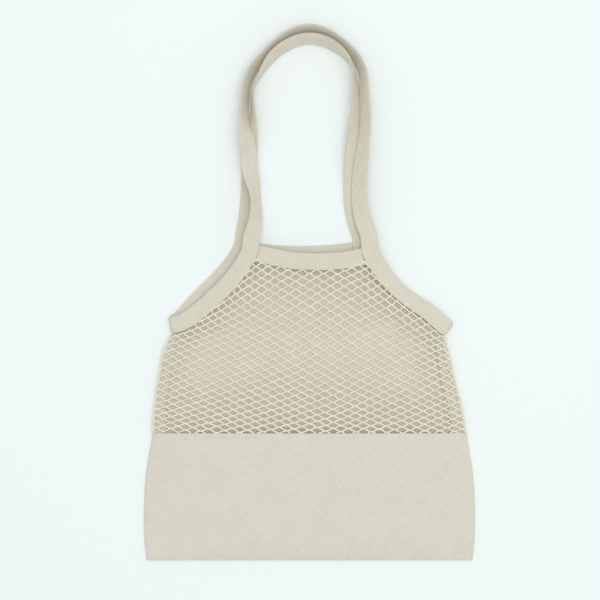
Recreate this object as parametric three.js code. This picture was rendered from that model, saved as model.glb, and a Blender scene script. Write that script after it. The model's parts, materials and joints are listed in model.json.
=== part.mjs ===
// Mesh produce bag lying on its back: a canvas back panel, a canvas pocket across the lower front, a
// knotted net above it, and one kind of folded twill tape for every band, binding and handle.
// Millimetres. X runs across the bag, Y from the bottom seam to the handles, Z up off the table.
// Y is measured from the bottom seam here, and one group at the end moves the origin to the middle.
import * as THREE from "three";

// ---- driving dimensions ----
const BAG_LENGTH = 614; // bottom seam to the top of the handle arch
const BODY_HALF_WIDTH = 190; // widest place of the canvas pocket
const CORNER_HALF_WIDTH = 165; // where the tape turns from the front to the back
const POCKET_HEIGHT = 145; // bottom seam to the top edge of the front canvas
const CORNER_HEIGHT = 270;
const MOUTH_HEIGHT = 345; // lower edge of the top bands
const CANVAS_THICK = 0.8;
const NET_THICK = 2.2;
const TAPE_WIDTH = 19;
const TAPE_THICK = 1.8; // folded double round the raw edge
const SEAM_WIDTH = 14;
const SEAM_THICK = 1.0;
const HEM_WIDTH = 12;
const STITCH_WIDTH = 0.8;
const STITCH_THICK = 0.4;
const STITCH_INSET = 2.2; // from the edge of the tape or seam to the thread
const GAP = 0.3; // between touching pieces
const STEPS_PER_STATION = 3; // of a handle's loft
const HINGE_GAP = 1.0; // where cloth bends at a joint

// ---- how the front cloth stands off the back ----
const FRONT_AT_SEAM = CANVAS_THICK + SEAM_THICK + 2 * GAP; // underside of the front at the side seams
const FRONT_LIFT = 5.6; // further rise of the underside at the middle of the pocket
const NET_SAG = 1.2; // how much less the middle of the net rises
const BOTTOM_CURVE = 30; // length over which the front comes up from the bottom seam
const CROWN_POWER = 4;

// ---- hinge lines ----
const FRONT_HANDLE_HINGE = 363.5;
const BACK_HANDLE_HINGE = 367;
const FRONT_BINDING_END = FRONT_HANDLE_HINGE - HINGE_GAP / 2;
const FRONT_HANDLE_START = FRONT_HANDLE_HINGE + HINGE_GAP / 2;
const BACK_BINDING_END = BACK_HANDLE_HINGE - HINGE_GAP / 2;
const BACK_HANDLE_START = BACK_HANDLE_HINGE + HINGE_GAP / 2;
const NET_START = POCKET_HEIGHT + HINGE_GAP;

// ---- outlines seen from above, as [x, y] points for smooth curves ----
const POCKET_SIDE = {
  left: [[-187, 0], [-189.5, 25], [-189.8, 60], [-187.5, 100], [-180, POCKET_HEIGHT]],
  right: [[187, 0], [189.5, 25], [189.8, 60], [187.5, 100], [180, POCKET_HEIGHT]],
};
const NET_SIDE = {
  left: [[-180, NET_START], [-179.5, 180], [-174, 219], [-168.5, 248], [-162, 257.5]],
  right: [[179.5, NET_START], [174, 180], [166, 210], [161, 238], [156.5, 254]],
};
const FRONT_SCOOP = {
  left: [[-157.5, 270.5], [-146, 272.5], [-128, 285], [-111, 299.8], [-94.5, 316], [-81.2, 332],
    [-72, 347], [-67.6, 357], [-67.2, FRONT_BINDING_END]],
  right: [[157.5, 266], [147, 275.2], [136.7, 284.8], [119.2, 296.7], [101.6, 310.7], [86.2, 327],
    [75, 343], [69, 356], [68.5, FRONT_BINDING_END]],
};
const BACK_SCOOP = {
  left: [[-154, 273.5], [-149, 276], [-140.5, 285.5], [-127.3, 300], [-106.4, 320.4],
    [-91, 337.6], [-80.6, 353], [-76.6, 361], [-76.2, BACK_BINDING_END]],
  right: [[156, 266], [145, 275.5], [131, 285.5], [113, 297], [95, 312], [78, 330], [66, 347],
    [59.4, 360], [59, BACK_BINDING_END]],
};
const FRONT_BAND = { low: { left: 342.8, right: 339.2 }, high: { left: 361.8, right: 357.5 }, sag: 8 };
const BACK_BAND = { low: { left: 346, right: 346 }, high: { left: 365, right: 365 }, sag: 4.4 };

// ---- handle tapes, as [x, y, height of the lower edge, roll in degrees] ----
// Roll lifts the edge of the tape that faces out of the loop; past -90 the tape has turned right over.
const FRONT_HANDLE = [
  [-67.2, FRONT_HANDLE_START, 7.9, 0], [-66.9, 368.5, 7.6, 3], [-63.5, 380, 7, 24], [-61.4, 393, 5.4, 44],
  [-61.1, 410, 3.6, 56], [-63, 424, 3.4, 50], [-66.2, 437, 3.6, 32], [-68.6, 450, 4, 16],
  [-69.3, 464, 4.6, 17], [-70.8, 477, 6, 32], [-72.8, 489, 7.8, 43], [-74.6, 500, 5.2, 58],
  [-74.9, 516, 1.4, 60], [-74.2, 531, 0.3, 60], [-71.6, 548.5, 0.3, 59],
  [-64, 563.5, 0.3, 58], [-53.4, 576.3, 0.3, 58], [-39.6, 590.1, 0.3, 58], [-24.7, 601, 0.3, 58],
  [-10.9, 607, 0.3, 58], [2.9, 608.1, 0.3, 58], [17.8, 604.3, 0.3, 58], [34, 594.4, 0.3, 58],
  [46, 584, 0.3, 58], [54.5, 574, 0.3, 60], [60, 562.5, 0.6, 62], [62.3, 550, 2, 60],
  [63.5, 528, 3.2, 56], [64.3, 505, 3.6, 54], [62.8, 482, 4.8, 50], [59.6, 459, 6.2, 38],
  [57.2, 436, 4.8, 30], [57.4, 413, 3.8, 26], [61, 390, 5.2, 14], [67, 375, 7.2, 4],
  [68.3, 368, 7.8, 0], [68.4, FRONT_HANDLE_START, 7.9, 0],
];
const BACK_HANDLE = [
  [-76.2, BACK_HANDLE_START, 0.2, 0], [-76, 371, 0.2, 0], [-72.5, 390, 0.2, 0], [-70, 413, 0.2, 0],
  [-69, 436, 0.2, 0], [-69.3, 459, 0.2, 0], [-69, 477, 0.2, -8], [-67.8, 489, 0.2, -28],
  [-65.7, 500, 0.2, -52], [-64.8, 514, 0.2, -74], [-65.2, 530, 0.2, -81], [-62.8, 543, 0.2, -88],
  [-57.3, 555, 0.2, -97], [-50.3, 566.8, 0.2, -108], [-42, 577.2, 0.2, -118], [-30.4, 587, 0.2, -122],
  [-10.9, 596, 0.2, -122], [6.3, 597, 0.2, -122], [22.5, 592, 0.2, -120], [35, 583.5, 0.2, -112],
  [43.5, 575, 0.2, -101], [49.3, 565, 0.2, -88], [51, 551, 0.2, -70], [52, 528, 0.2, -58],
  [51.5, 505, 0.2, -46], [50, 482, 0.2, -37], [49.5, 459, 0.2, -24], [49, 436, 0.2, -10],
  [49.1, 413, 0.2, -3], [52.2, 390, 0.2, 0], [57.2, 377, 0.2, 0], [58.8, 370.6, 0.2, 0],
  [59, BACK_HANDLE_START, 0.2, 0],
];

// ---- materials ----
function cloth(colour, roughness) {
  return new THREE.MeshStandardMaterial({ color: colour, roughness, metalness: 0 });
}
const CANVAS = cloth(0xdcdacb, 0.92);
const TAPE = cloth(0xdedccf, 0.88);
const YARN = cloth(0xded9c5, 0.95);
const THREAD = cloth(0xe4e0d0, 0.8);

const bag = new THREE.Group();

// ---- curves and edges ----
function smoothCurve(points) {
  const path = points.map(([x, y, z = 0]) => new THREE.Vector3(x, y, z));
  return new THREE.CatmullRomCurve3(path, false, "centripetal");
}

// The unit vector to the left of a direction, seen from above.
function leftOf(direction) {
  return new THREE.Vector3(-direction.y, direction.x, 0).normalize();
}

// Points beside a curve, a set distance to its left; a negative distance is to its right.
function beside(curve, distance, count) {
  const edge = [];
  for (let i = 0; i <= count; i += 1) {
    const across = leftOf(curve.getTangentAt(i / count));
    edge.push(curve.getPointAt(i / count).addScaledVector(across, distance));
  }
  return edge;
}

// The stretch of an edge between the first points that reach two heights, evenly spaced.
function between(edge, low, high, count) {
  const reach = (y) => {
    const found = edge.findIndex((point) => point.y >= y);
    return found < 0 ? edge.length - 1 : found;
  };
  const cut = (y) => {
    const next = reach(y);
    if (next === 0) return edge[0].clone();
    const [before, after] = [edge[next - 1], edge[next]];
    const share = THREE.MathUtils.clamp((y - before.y) / (after.y - before.y), 0, 1);
    return before.clone().lerp(after, share);
  };
  const kept = edge.slice(Math.max(reach(low), 1), reach(high));
  const line = new THREE.CatmullRomCurve3([cut(low), ...kept, cut(high)], false, "catmullrom", 0);
  return line.getSpacedPoints(count);
}

// ---- heights ----
function halfWidthAt(y) {
  const narrowing = THREE.MathUtils.smoothstep(y, POCKET_HEIGHT * 0.6, CORNER_HEIGHT);
  return THREE.MathUtils.lerp(BODY_HALF_WIDTH, CORNER_HALF_WIDTH, narrowing);
}

// Underside of the front cloth: low at the seams, crowned between them, a little lower mid-net.
function frontUnder(x, y) {
  const share = Math.min(Math.abs(x) / halfWidthAt(y), 1);
  const crown = 1 - share ** CROWN_POWER;
  const fromBottom = Math.min(Math.max(y / BOTTOM_CURVE, 0), 1);
  const rise = 1 - (1 - fromBottom) ** 2;
  const alongNet = THREE.MathUtils.clamp((y - POCKET_HEIGHT) / (MOUTH_HEIGHT - POCKET_HEIGHT), 0, 1);
  const lift = FRONT_LIFT - NET_SAG * Math.sin(Math.PI * alongNet) ** 2;
  return FRONT_AT_SEAM + lift * crown * rise;
}
const onTable = () => 0;

// ---- solids ----
// One closed solid between two grids of points, the second above the first.
function solidBetween(under, over) {
  const lastRow = under.length - 1;
  const lastColumn = under[0].length - 1;
  const positions = [];
  const quad = (...corners) => {
    for (const i of [0, 1, 2, 0, 2, 3]) positions.push(...corners[i].toArray());
  };
  for (let r = 0; r < lastRow; r += 1) {
    for (let c = 0; c < lastColumn; c += 1) {
      quad(over[r][c], over[r][c + 1], over[r + 1][c + 1], over[r + 1][c]);
      quad(under[r][c], under[r + 1][c], under[r + 1][c + 1], under[r][c + 1]);
    }
    quad(under[r][0], over[r][0], over[r + 1][0], under[r + 1][0]);
    quad(under[r][lastColumn], under[r + 1][lastColumn], over[r + 1][lastColumn], over[r][lastColumn]);
  }
  for (let c = 0; c < lastColumn; c += 1) {
    quad(under[0][c], under[0][c + 1], over[0][c + 1], over[0][c]);
    quad(under[lastRow][c], over[lastRow][c], over[lastRow][c + 1], under[lastRow][c + 1]);
  }
  const geometry = new THREE.BufferGeometry();
  geometry.setAttribute("position", new THREE.Float32BufferAttribute(positions, 3));
  if (signedVolume(positions) < 0) reverseFaces(geometry.getAttribute("position"));
  geometry.computeVertexNormals();
  return geometry;
}

function signedVolume(positions) {
  const [a, b, c] = [new THREE.Vector3(), new THREE.Vector3(), new THREE.Vector3()];
  let sum = 0;
  for (let i = 0; i < positions.length; i += 9) {
    a.fromArray(positions, i);
    b.fromArray(positions, i + 3);
    c.fromArray(positions, i + 6);
    sum += a.dot(b.cross(c));
  }
  return sum / 6;
}

function reverseFaces(attribute) {
  for (let i = 0; i < attribute.count; i += 3) {
    const second = new THREE.Vector3().fromBufferAttribute(attribute, i + 1);
    const third = new THREE.Vector3().fromBufferAttribute(attribute, i + 2);
    attribute.setXYZ(i + 1, third.x, third.y, third.z);
    attribute.setXYZ(i + 2, second.x, second.y, second.z);
  }
}

function add(name, geometry, material) {
  const mesh = new THREE.Mesh(geometry, material);
  mesh.name = name;
  bag.add(mesh);
}

// The same grid of plan points at the heights that a function gives, plus a fixed amount.
function raised(grid, height, extra) {
  return grid.map((row) => row.map((p) => new THREE.Vector3(p.x, p.y, height(p.x, p.y) + extra)));
}

// Rows of plan points from the left edge to the right edge; sagAt gives each row's droop at its middle.
function panelGrid(left, right, columns, sagAt) {
  return left.map((start, r) => {
    const row = [];
    for (let c = 0; c <= columns; c += 1) {
      const across = c / columns;
      const point = start.clone().lerp(right[r], across);
      point.y -= sagAt(r / (left.length - 1)) * 4 * across * (1 - across);
      row.push(point);
    }
    return row;
  });
}

function addPanel(name, grid, height, thick, material) {
  add(name, solidBetween(raised(grid, height, 0), raised(grid, height, thick)), material);
}

// A flat strip along a curve, between two distances to the curve's left.
function addStrip(name, curve, from, to, steps, height, lift, thick, material) {
  const near = beside(curve, from, steps);
  const far = beside(curve, to, steps);
  const grid = near.map((point, i) => [point, point.clone().lerp(far[i], 0.5), far[i]]);
  const geometry = solidBetween(raised(grid, height, lift), raised(grid, height, lift + thick));
  add(name, geometry, material);
}

// ---- the side outlines that the panels share ----
const SIDE_ROWS = 7;
const SCOOP_ROWS = 14;
const EDGE_SAMPLES = 60;
const CLOTH_INSET = TAPE_WIDTH / 2 + GAP + 0.1; // from the middle of a scoop tape to the cloth

// The tape's inner edge faces the middle of the bag: right of the left scoop, left of the right one.
function insideEdge(scoop, side) {
  const direction = side === "left" ? -1 : 1;
  return beside(smoothCurve(scoop[side]), direction * CLOTH_INSET, EDGE_SAMPLES);
}

function sidePoints(list) {
  return smoothCurve(list).getSpacedPoints(SIDE_ROWS);
}

const level = () => 0;

function bottomPart(side) {
  return sidePoints(POCKET_SIDE[side]);
}

function topPart(scoop, side, low) {
  const inside = insideEdge(scoop, side);
  return [...sidePoints(NET_SIDE[side]), ...between(inside, -Infinity, low - GAP - 0.1, SCOOP_ROWS)];
}

// Droop of a row of cloth that grows to the band's own droop at the mouth.
const mouthSag = (band) => (along) => band.sag * THREE.MathUtils.smoothstep(along, 0.55, 1);

// ---- canvas ----
function addBackPanel() {
  const edges = ["left", "right"].map((side) => [
    ...bottomPart(side), ...topPart(BACK_SCOOP, side, BACK_BAND.low[side])]);
  addPanel("back_panel", panelGrid(...edges, 12, mouthSag(BACK_BAND)), onTable, CANVAS_THICK, CANVAS);
}

function addFrontCanvas() {
  const grid = panelGrid(bottomPart("left"), bottomPart("right"), 20, level);
  addPanel("front_canvas_panel", grid, frontUnder, CANVAS_THICK, CANVAS);
  const hem = smoothCurve([[-176, POCKET_HEIGHT - GAP], [0, POCKET_HEIGHT - GAP], [176, POCKET_HEIGHT - GAP]]);
  addStrip("canvas_top_hem", hem, -HEM_WIDTH, 0, 24, frontUnder, -CANVAS_THICK - GAP, CANVAS_THICK, CANVAS);
  const thread = smoothCurve([[-178, POCKET_HEIGHT - 4], [0, POCKET_HEIGHT - 4], [178, POCKET_HEIGHT - 4]]);
  addStrip("canvas_hem_stitching", thread, 0, STITCH_WIDTH, 24, frontUnder, CANVAS_THICK + GAP,
    STITCH_THICK, THREAD);
}

// Seam allowances turned to the inside, between the back panel and the front.
function addSeams() {
  const floor = () => CANVAS_THICK + GAP;
  for (const [side, inward] of [["left", -1], ["right", 1]]) {
    const whole = [...POCKET_SIDE[side].slice(0, -1), ...NET_SIDE[side].slice(0, -1)];
    const curve = smoothCurve(whole.map(([x, y]) => [x, Math.max(y, SEAM_WIDTH + GAP)]).slice(1));
    addStrip(side + "_side_seam", curve, inward * 0.5, inward * SEAM_WIDTH, 18, floor, 0, SEAM_THICK, CANVAS);
  }
  const bottom = smoothCurve([[-186.5, 0.4], [0, 0.4], [186.5, 0.4]]);
  addStrip("bottom_seam", bottom, 0, SEAM_WIDTH - GAP, 2, floor, 0, SEAM_THICK, CANVAS);
}

// ---- net ----
function addNet() {
  const edges = ["left", "right"].map((side) => topPart(FRONT_SCOOP, side, FRONT_BAND.low[side]));
  addPanel("front_net", panelGrid(...edges, 20, mouthSag(FRONT_BAND)), frontUnder, NET_THICK, YARN);
}

// ---- tape: bands across the mouth, bindings down the scoops, and the turns at the corners ----
function addBand(name, band, scoop, height) {
  const ends = ["left", "right"].map((side) =>
    between(insideEdge(scoop, side), band.low[side], band.high[side], 3));
  addPanel(name, panelGrid(...ends, 14, () => band.sag), height, TAPE_THICK, TAPE);
  const thread = (inset) => ["left", "right"].map((side) => {
    const low = band.low[side] + inset;
    return between(insideEdge(scoop, side), low, low + STITCH_WIDTH, 1);
  });
  const raisedHeight = (x, y) => height(x, y) + TAPE_THICK + GAP;
  const grid = panelGrid(...thread(STITCH_INSET), 14, () => band.sag);
  addPanel(name + "_stitching", grid, raisedHeight, STITCH_THICK, THREAD);
}

function addBinding(name, scoop, side, height) {
  const curve = smoothCurve(scoop[side]);
  const half = TAPE_WIDTH / 2;
  const inward = side === "left" ? -1 : 1;
  const thread = inward * (half - STITCH_INSET);
  addStrip(name, curve, -half, half, 22, height, 0, TAPE_THICK, TAPE);
  addStrip(name + "_stitching", curve, thread, thread - inward * STITCH_WIDTH, 22, height,
    TAPE_THICK + GAP, STITCH_THICK, THREAD);
}

// The tape turning from the front binding round the edge of the bag to the back binding.
function addCornerWrap(side) {
  const end = smoothCurve(FRONT_SCOOP[side]);
  const outward = end.getTangentAt(0).negate();
  const across = leftOf(outward);
  const start = end.getPointAt(0).addScaledVector(outward, GAP + 0.1);
  const outer = TAPE_THICK + GAP / 2;
  const inner = outer - TAPE_THICK;
  const turn = (radius) => {
    const rows = [];
    for (let i = 0; i <= 10; i += 1) {
      const angle = (Math.PI * i) / 10 - Math.PI / 2;
      const point = start.clone().addScaledVector(outward, radius * Math.cos(angle));
      point.z = outer + radius * Math.sin(angle);
      const half = TAPE_WIDTH / 2;
      rows.push([-half, half].map((step) => point.clone().addScaledVector(across, step)));
    }
    return rows;
  };
  add(side + "_corner_wrap", solidBetween(turn(inner), turn(outer)), TAPE);
}

// ---- handles ----
// A tape or thread along a handle; offset is across the tape and lift is out of its upper face.
function handleStrip(stations, width, thick, offset, lift) {
  const path = smoothCurve(stations.map(([x, y, low]) => [x, y, low]));
  const rolls = smoothCurve(stations.map(([, , , roll]) => [roll, 0, 0]));
  const steps = STEPS_PER_STATION * (stations.length - 1);
  const [under, over] = [[], []];
  for (let i = 0; i <= steps; i += 1) {
    const roll = THREE.MathUtils.degToRad(rolls.getPoint(i / steps).x);
    const outward = leftOf(path.getTangent(i / steps));
    const across = outward.clone().multiplyScalar(Math.cos(roll)).setZ(Math.sin(roll));
    const up = outward.clone().multiplyScalar(-Math.sin(roll)).setZ(Math.cos(roll));
    const middle = path.getPoint(i / steps);
    middle.z += (TAPE_WIDTH / 2) * Math.abs(Math.sin(roll)) + (TAPE_THICK / 2) * Math.abs(Math.cos(roll));
    middle.addScaledVector(across, offset).addScaledVector(up, lift);
    const corner = (side, rise) => middle.clone()
      .addScaledVector(across, (side * width) / 2).addScaledVector(up, (rise * thick) / 2);
    under.push([corner(-1, -1), corner(1, -1)]);
    over.push([corner(-1, 1), corner(1, 1)]);
  }
  return solidBetween(under, over);
}

// The row of stitches runs along the edge that stands highest: +1 faces out of the loop, -1 into it.
function addHandle(name, stations, highEdge) {
  const threadLift = (TAPE_THICK + STITCH_THICK) / 2 + 2 * GAP;
  const threadOffset = highEdge * (TAPE_WIDTH / 2 - STITCH_INSET);
  add(name + "_strap", handleStrip(stations, TAPE_WIDTH, TAPE_THICK, 0, 0), TAPE);
  add(name + "_stitching",
    handleStrip(stations, STITCH_WIDTH, STITCH_THICK, threadOffset, threadLift), THREAD);
}

addBackPanel();
addFrontCanvas();
addSeams();
addNet();
addBand("front_top_band", FRONT_BAND, FRONT_SCOOP, frontUnder);
addBand("back_top_band", BACK_BAND, BACK_SCOOP, onTable);
for (const side of ["left", "right"]) {
  addBinding("front_" + side + "_binding", FRONT_SCOOP, side, frontUnder);
  addBinding("back_" + side + "_binding", BACK_SCOOP, side, onTable);
  addCornerWrap(side);
}
addHandle("front_handle", FRONT_HANDLE, 1);
addHandle("back_handle", BACK_HANDLE, -1);

bag.position.y = -BAG_LENGTH / 2;
const produceBag = new THREE.Group();
produceBag.add(bag);
export default produceBag;
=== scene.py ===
"""Looks of the mesh produce bag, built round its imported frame.

Every tape, panel and edge takes its place from the CAD node that it replaces: the long sharp edges
of a node's mesh are read as its outline, and the cloth, yarn and thread are laid along them.
Metres. X runs across the bag, Y from the bottom seam to the handles, Z up off the table.
"""
import json
import math

import bmesh
import bpy
import numpy as np
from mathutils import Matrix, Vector, noise


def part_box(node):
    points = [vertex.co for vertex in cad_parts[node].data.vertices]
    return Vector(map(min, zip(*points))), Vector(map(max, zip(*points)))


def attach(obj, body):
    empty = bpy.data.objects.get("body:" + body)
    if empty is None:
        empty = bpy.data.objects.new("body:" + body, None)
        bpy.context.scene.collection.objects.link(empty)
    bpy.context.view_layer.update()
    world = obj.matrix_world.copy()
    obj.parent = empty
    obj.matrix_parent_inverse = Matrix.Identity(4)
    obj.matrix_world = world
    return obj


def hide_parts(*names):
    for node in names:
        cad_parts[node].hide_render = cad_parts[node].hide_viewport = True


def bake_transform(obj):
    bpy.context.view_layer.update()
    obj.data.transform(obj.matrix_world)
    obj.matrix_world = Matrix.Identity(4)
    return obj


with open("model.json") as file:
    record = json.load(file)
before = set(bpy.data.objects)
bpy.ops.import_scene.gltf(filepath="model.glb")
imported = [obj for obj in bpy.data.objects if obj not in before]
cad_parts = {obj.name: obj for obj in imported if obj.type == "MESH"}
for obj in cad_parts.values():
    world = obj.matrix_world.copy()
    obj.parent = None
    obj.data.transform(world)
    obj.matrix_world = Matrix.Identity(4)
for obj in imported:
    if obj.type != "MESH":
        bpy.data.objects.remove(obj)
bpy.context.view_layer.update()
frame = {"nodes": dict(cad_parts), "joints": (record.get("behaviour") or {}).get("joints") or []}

MM = 0.001
UP = np.array([0.0, 0.0, 1.0])

# ---- tape ----
TAPE_STEP = 1.25 * MM  # between cross-sections
HALF_WIDTH = 9.5 * MM
HALF_THICK = 0.9 * MM
BINDING_GAP = 0.7 * MM  # between the two layers of a tape that grips a panel
HANDLE_GAP = 0.2 * MM  # between the two layers of a handle
STITCH_LENGTH = 3.75 * MM
STITCH_INSET = 2.2 * MM
THREAD_RADIUS = 0.27 * MM
HINGE_BEFORE = 6 * MM  # how far before its hinge line a handle starts to bend
ROUTE_SOFT = 5  # rows on each side that a tape's route is averaged with
GAP_ROWS = 8  # rows before and after a handle's ends over which its gap narrows
SHOULDER = 1.6 * MM  # how far the back handle stands out on its right side
SHOULDER_AT = 0.62  # where it does, as a share of the whole back tape
SHOULDER_SPREAD = 0.04  # and over how much of it
BAND_DROP = 0.6 * MM  # of a mouth band below the tapes that cross its ends
CORNER_BULGE = 1.3 * MM  # how far a corner wrap's fold stands out at its middle and draws in at its ends
CORNER_NARROWER = 0.14  # share of its width that a corner wrap loses at its fold
CORNER_PULL = 2.2  # how straight a corner wrap leaves the two tapes it joins

# ---- cloth ----
CLOTH = 0.8 * MM
POCKET_POINTS = [62, 150]  # rows and columns of points in the pocket
BACK_POINTS = [84, 50, 130]  # rows of the back panel below and above its corners, and columns
PRESSED = 0.3 * MM  # cloth lower than this over the table is pressed towards it
EDGE_ROUND = 9 * MM  # width of the rounded edge of the pocket
FRONT_RISE = 30 * MM  # over which the front rises from the bottom seam to its full height
NARROWING = 58 * MM  # how far below the pocket's top edge the bag starts to narrow
HEM_TURN = 1.0 * MM  # radius of the fold at the pocket's top edge
HEM_DEPTH = 12 * MM
TUCK = 5 * MM  # how far a panel reaches into the tape round it
SEAM_INSET = 0.6 * MM  # of the back panel's edge inside the pocket's
NET_INSET = [4 * MM, 6 * MM]  # and inside the net's, at its foot and at its corners
SCOOP_START = 12 * MM  # above the corners, where the tapes have taken over the panels' edges
CORNER_HOLD = 16 * MM  # below a corner wrap, where it starts to hold the net and the back panel together
UNDER_NET = 0.5 * MM  # room for the knots, between the cloth and the underside of the yarn
BACK_RISE = 2.3 * MM  # the back panel lifts towards the net at its middle
ALLOWANCE_OUTER = [-4.4 * MM, 1.0 * MM]  # of a side allowance from its seam's middle, low down and at its top
ALLOWANCE_INNER = 7.6 * MM
ALLOWANCE_LIFT = 2.2 * MM  # how far its inner edge stands up

# ---- net ----
CELL_WIDTH = 17.2 * MM
CELL_LOW = 7.1 * MM  # height of a cell next to the canvas and the mouth
CELL_HIGH = 10.1 * MM  # and at the middle of the net
ROWS_LONG = 0.46  # metres, longer than the net is wide
YARN_RADIUS = 0.95 * MM
YARN_SIDES = 8
YARN_SAMPLES = 8  # along half a cell
HOOK = 0.4 * MM  # how far a bend reaches past the line where it meets the next row's
NET_SAG = 4.1 * MM
SQUEEZE_REACH = 18 * MM  # how far from its sides the net's cells are squeezed
DRAWN_IN = 2.2 * MM  # of the net's left edge, between the pocket and its corner
NET_TAIL = 6 * MM  # of yarn inside the tape round the net
KNOT_HALF = [1.0 * MM, 0.85 * MM]  # half the width and height of the two bends that a knot turns round
KNOT_RADIUS = 0.4 * MM
KNOT_CLEAR = 2.5 * MM  # from the net's edges to its nearest knots
ROW_PLACES = [-0.18, -0.11, -0.055, 0.0, 0.06, 0.11, 0.15]  # X at which the rows' fall to the right is given
ROW_FALL_LOW = [0.06, 0.09, 0.13, 0.08, 0.0, 0.03, 0.05]  # in the lower half of the net
ROW_FALL_HIGH = [0.05, 0.03, -0.01, -0.02, 0.1, 0.17, 0.24]  # and near the mouth

# ---- places read from the frame ----
CORNER_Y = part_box("left_corner_wrap")[0].y  # where the corner wraps start, at the top of the side seams
POCKET_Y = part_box("front_net")[0].y  # the pocket's top edge, where the net starts


# ======== reading the frame ========
def chains(node):
    """The runs of sharp edges from corner to corner of a box-like CAD solid, as arrays of points."""
    bm = bmesh.new()
    bm.from_mesh(frame["nodes"][node].data)
    bmesh.ops.remove_doubles(bm, verts=bm.verts, dist=5e-6)
    sharp = {e for e in bm.edges if len(e.link_faces) == 2 and e.calc_face_angle(0) > math.radians(60)}

    def ways(vertex):
        return [e for e in vertex.link_edges if e in sharp]

    found, done = [], set()
    for corner in [v for v in bm.verts if len(ways(v)) == 3]:
        for edge in ways(corner):
            line, vertex = [corner.co.copy()], corner
            while edge is not None and edge not in done:
                done.add(edge)
                vertex = edge.other_vert(vertex)
                line.append(vertex.co.copy())
                onward = [e for e in ways(vertex) if e is not edge]
                edge = onward[0] if len(onward) == 1 else None
            if len(line) > 1:
                found.append(np.array(line))
    bm.free()
    return found


def length_of(line):
    return float(np.linalg.norm(np.diff(line, axis=0), axis=1).sum())


def outline(node):
    """The left, right, low and high edges of a CAD panel's upper face, each from its low or left end."""
    sides = [c for c in chains(node) if len(c) > 2]
    middles = [c.mean(axis=0) for c in sides]
    upper = []
    for line, middle in zip(sides, middles):
        below = min((m for m in middles if m is not middle), key=lambda m: np.linalg.norm(m - middle))
        if middle[2] > below[2]:
            upper.append(line)
    by_x = sorted(upper, key=lambda c: c[:, 0].mean())
    across = sorted(by_x[1:-1], key=lambda c: c[:, 1].mean())
    upright = [line if line[0, 1] < line[-1, 1] else line[::-1] for line in (by_x[0], by_x[-1])]
    level = [line if line[0, 0] < line[-1, 0] else line[::-1] for line in across]
    return {"left": upright[0], "right": upright[1], "low": level[0], "high": level[1]}


def route(node, first):
    """Rows of middle, outward and upward vectors down a CAD tape, from its end nearest to first.
    Outward is to the left of the way the tape runs, which is out of the handle's loop."""
    rails = sorted(chains(node), key=length_of)[-4:]
    first = np.array(first)
    rails = [r if np.linalg.norm(r[0] - first) < np.linalg.norm(r[-1] - first) else r[::-1] for r in rails]
    start = rails[0][0]
    rails = sorted(rails, key=lambda r: np.linalg.norm(r[0] - start))
    pairs = [sorted(pair, key=lambda r: r[0, 2]) for pair in (rails[:2], rails[2:])]
    edges = [(low + high) / 2 for low, high in pairs]
    middle = (edges[0] + edges[1]) / 2
    left = np.cross(UP, middle[1] - middle[0])
    sign = 1 if (edges[1] - edges[0])[0] @ left > 0 else -1
    outward = unit(sign * (edges[1] - edges[0]))
    upward = unit(sum(high - low for low, high in pairs))
    return np.hstack([middle, outward, upward])


def unit(rows):
    return rows / np.linalg.norm(rows, axis=-1, keepdims=True)


# ======== lines ========
def along(rows):
    steps = np.linalg.norm(np.diff(rows[:, :3], axis=0), axis=1)
    return np.concatenate([[0], np.cumsum(steps)])


def evenly(rows, step):
    """Rows of numbers spaced evenly along the line of their first three columns."""
    reached = along(rows)
    at = np.linspace(0, reached[-1], max(2, round(reached[-1] / step)) + 1)
    return np.stack([np.interp(at, reached, column) for column in rows.T], axis=1)


def softened(rows, reach):
    """Rows averaged with their neighbours up to reach away; both ends stay."""
    kernel = np.hanning(2 * reach + 3)[1:-1]
    kernel /= kernel.sum()
    padded = np.concatenate([2 * rows[0] - rows[reach:0:-1], rows, 2 * rows[-1] - rows[-2:-reach - 2:-1]])
    return np.stack([np.convolve(column, kernel, "valid") for column in padded.T], axis=1)


def squared(rows, start_up=None):
    """The route again, with outward and upward made square to the way it runs."""
    middle, outward = rows[:, :3], rows[:, 3:6]
    tangent = unit(np.gradient(middle, axis=0))
    outward = unit(outward - (outward * tangent).sum(1, keepdims=True) * tangent)
    upward = np.cross(tangent, outward)
    if start_up is not None and upward[0] @ start_up < 0:
        upward = -upward
    return np.hstack([middle, outward, upward])


def smoothstep(value, low, high):
    t = np.clip((value - low) / (high - low), 0, 1)
    return t * t * (3 - 2 * t)


def ripple(x, y, size, seed):
    """Smooth noise from -1 to 1 over arrays of places; size is the distance between its bumps."""
    place = np.stack(np.broadcast_arrays(x, y), axis=-1).reshape(-1, 2) / size
    values = [noise.noise(Vector((px + seed * 17.3, py - seed * 9.1, seed * 3.7))) for px, py in place]
    return np.array(values).reshape(np.broadcast(x, y).shape)


def side_x(edge, y):
    """X of a left or right edge at each Y."""
    return np.interp(y, edge[:, 1], edge[:, 0])


def on_scoop(y):
    """0 beside the side seams, 1 where the scoops have begun."""
    return smoothstep(y, CORNER_Y, CORNER_Y + SCOOP_START)


def near_corner(y):
    """0 along the side seams, rising to 1 just under the corner wraps."""
    return smoothstep(y, CORNER_Y - CORNER_HOLD, CORNER_Y - 2 * MM)


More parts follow.
